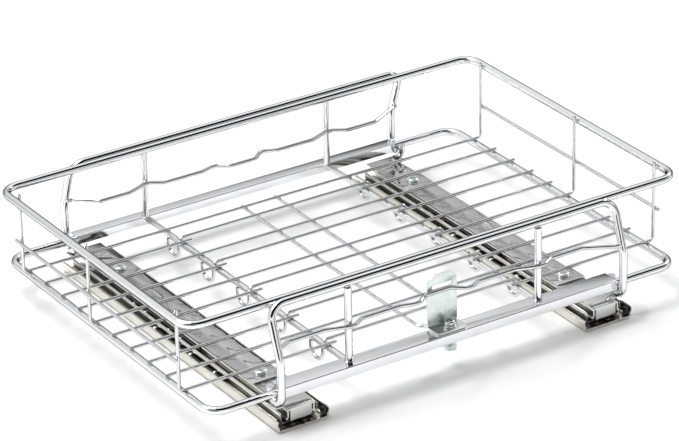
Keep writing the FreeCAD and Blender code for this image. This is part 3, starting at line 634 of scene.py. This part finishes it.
thing = weld_bead.run("weld_beads", mesh, Finish=weld_metal)
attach(thing, "basket")


# ---------------------------------------------------------------- sheet metal, rails and screws
FLAT_BELOW = math.radians(0.6)
SOFTEN_FROM = math.radians(50)
SHEET_SHARP_FROM = math.radians(35)


def finished(node, edge):
    """A copy of a CAD node with clean faces and edges softened by so many millimetres."""
    mesh = frame["nodes"][node].data.copy()
    mesh.name = node + "_finished"
    work = bmesh.new()
    work.from_mesh(mesh)
    bmesh.ops.remove_doubles(work, verts=work.verts, dist=1e-6)
    bmesh.ops.dissolve_limit(work, angle_limit=FLAT_BELOW, verts=work.verts, edges=work.edges)
    sharp = [e for e in work.edges
             if len(e.link_faces) == 2 and e.calc_face_angle(0) > SOFTEN_FROM]
    bmesh.ops.bevel(work, geom=sharp, offset=edge * MM, offset_type="OFFSET", segments=2,
                    profile=0.6, affect="EDGES", clamp_overlap=True)
    bmesh.ops.triangulate(work, faces=[f for f in work.faces if len(f.verts) > 4])
    work.to_mesh(mesh)
    work.free()
    mesh.shade_smooth()
    mesh.set_sharp_from_angle(angle=SHEET_SHARP_FROM)
    mesh.materials.clear()
    mesh.materials.append(SLOT_FINISH[node_slot[node]])
    thing = bpy.data.objects.new(mesh.name, mesh)
    bpy.context.collection.objects.link(thing)
    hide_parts(node)
    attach(thing, node_body[node])


for node in ("front_angle", "rear_angle", "left_carrier", "right_carrier", "carrier_pads"):
    finished(node, 0.2)
for node in ("catch_bracket", "catch_washer", "catch_nut"):
    finished(node, 0.25)
for node in ("catch_screw", "carrier_screws"):
    finished(node, 0.12)
for side in ("left", "right"):
    for rail in ("outer", "middle", "inner"):
        finished(f"{side}_{rail}_rail", 0.15)
    for level in ("lower", "upper"):
        finished(f"{side}_{level}_retainer", 0.08)

# ---------------------------------------------------------------- ball rows
BALLS_IN_ROW = 6
for side in ("left", "right"):
    for level in ("lower", "upper"):
        node = f"{side}_{level}_balls"
        low, high = span(node)
        radius = (high.z - low.z) / 2
        step = (high.y - low.y - 2 * radius) / (BALLS_IN_ROW - 1)
        centres = [(x, low.y + radius + i * step, (low.z + high.z) / 2)
                   for x in (low.x + radius, high.x - radius) for i in range(BALLS_IN_ROW)]
        thing = ball_row.run(f"{side}_{level}_ball_row", seed_mesh(node + "_points", centres),
                             Size=radius * MM, Finish=ball_metal)
        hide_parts(node)
        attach(thing, f"{side}_{level}_cage")


# ---------------------------------------------------------------- nylon stops of the outer rails
STOP_ACROSS = (13.9, 16.4)      # from the slide's middle
STOP_ALONG = (0.6, 4.6)         # from the rail's front end
STOP_HEIGHT = (2.2, 6.6)
STOP_EDGE = 0.6


def rail_stops(side):
    """Two small blocks at the front end of an outer rail."""
    low, high = span(f"{side}_outer_rail")
    middle = (low.x + high.x) / 2
    work = bmesh.new()
    for way in (-1, 1):
        made = bmesh.ops.create_cube(work, size=1.0)["verts"]
        near, far = ((middle + way * STOP_ACROSS[i], low.y + STOP_ALONG[i], STOP_HEIGHT[i])
                     for i in (0, 1))
        for vert in made:
            vert.co = Vector([near[i] if vert.co[i] < 0 else far[i] for i in range(3)]) * MM
    bmesh.ops.bevel(work, geom=list(work.edges), offset=STOP_EDGE * MM, segments=3,
                    affect="EDGES", profile=0.5)
    bmesh.ops.recalc_face_normals(work, faces=list(work.faces))
    mesh = bpy.data.meshes.new(f"{side}_rail_stops")
    work.to_mesh(mesh)
    work.free()
    mesh.shade_smooth()
    mesh.set_sharp_from_angle(angle=SHARP_FROM)
    mesh.materials.append(nylon)
    thing = bpy.data.objects.new(mesh.name, mesh)
    bpy.context.collection.objects.link(thing)
    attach(thing, "base")


rail_stops("left")
rail_stops("right")


# ---------------------------------------------------------------- floor, light, camera
FLOOR_REACH = 3.0
FLOOR_LEVEL = -0.0003           # just under the rails, in metres


def pale_floor():
    mesh = bpy.data.meshes.new("floor")
    mesh.from_pydata(ring_path(FLOOR_REACH, FLOOR_REACH, 0), [], [(0, 1, 2, 3)])
    thing = bpy.data.objects.new("floor", mesh)
    bpy.context.collection.objects.link(thing)
    f = Finish("studio_floor")
    soft = f.noise(f.place(), scale=0.004, detail=3.0)
    tint = f.blend(soft * 0.1, (0.93, 0.93, 0.93), (0.89, 0.89, 0.89))
    thing.data.materials.append(f.set(Base_Color=tint, Roughness=0.6))
    thing.location.z = FLOOR_LEVEL


def softbox(name, place, across, watts):
    """A soft lamp that looks at the middle of the floor."""
    lamp = bpy.data.lights.new(name, "AREA")
    lamp.shape = "RECTANGLE"
    lamp.size, lamp.size_y = across
    lamp.energy = watts
    thing = bpy.data.objects.new(name, lamp)
    bpy.context.collection.objects.link(thing)
    thing.location = place
    thing.rotation_mode = "QUATERNION"
    thing.rotation_quaternion = (Vector((0, 0, 0)) - thing.location).to_track_quat("-Z", "Y")


def studio():
    """Pale surroundings with dark cards for the plating to reflect, and two softboxes.

    Behind, it is dark at the horizon, paler upwards and white on the far left. In front, it is
    pale low down, with a wide dark card above it and a low dark card on each side.
    """
    world = bpy.data.worlds.new("studio")
    bpy.context.scene.world = world
    world.use_nodes = True
    w = Graph(world.node_tree)
    x, y, z = w.axes(w.add("ShaderNodeTexCoord"))
    behind = w.ramp(z, (0.0, 0.10), (0.16, 0.14), (0.30, 0.62), (0.48, 0.74), (0.72, 0.95))
    ahead = w.ramp(z, (0.0, 0.9), (0.36, 0.95), (0.44, 0.01), (0.96, 0.01), (0.99, 0.7))
    facing = w.ramp(y * 0.5 + 0.5, (0.42, 0.0), (0.52, 1.0))
    level = ahead + (behind - ahead) * facing
    low = w.ramp(z, (0.18, 1.0), (0.28, 0.0))
    card = w.ramp(x * 0.5 + 0.5, (0.28, 0.98), (0.33, 0.0), (0.62, 0.0), (0.70, 0.75)) * low
    card = card * w.ramp(y * 0.5 + 0.5, (0.33, 1.0), (0.42, 0.0))
    level = level * (1 - card)
    left = w.ramp(x * 0.5 + 0.5, (0.16, 1.0), (0.30, 0.0)) * facing
    level = level + (1 - level) * left
    background = w.nodes["Background"]
    w.put(background.inputs[0], level)
    w.put(background.inputs[1], 1.0)
    softbox("overhead_softbox", (-0.45, 0.30, 1.30), (0.9, 0.7), 16.0)
    softbox("side_softbox", (1.10, 0.35, 0.75), (0.14, 0.14), 4.0)


def camera():
    """A long lens, turned by the directions of its right, its top and its view."""
    data = bpy.data.cameras.new("camera")
    data.lens = 199.9
    data.sensor_width = 36.0
    thing = bpy.data.objects.new("camera", data)
    bpy.context.collection.objects.link(thing)
    thing.location = (-1.1179, -1.7631, 1.0705)
    right = Vector((0.8391, -0.5437, -0.0199))
    up = Vector((0.2540, 0.3590, 0.8982))
    ahead = Vector((0.4811, 0.7587, -0.4393))
    turn = Matrix((right, up, -ahead)).transposed()
    thing.rotation_mode = "QUATERNION"
    thing.rotation_quaternion = turn.to_quaternion()
    data.clip_start = 0.05
    data.clip_end = 50.0
    bpy.context.scene.camera = thing


pale_floor()
studio()
camera()
bpy.context.scene.view_settings.view_transform = "Standard"
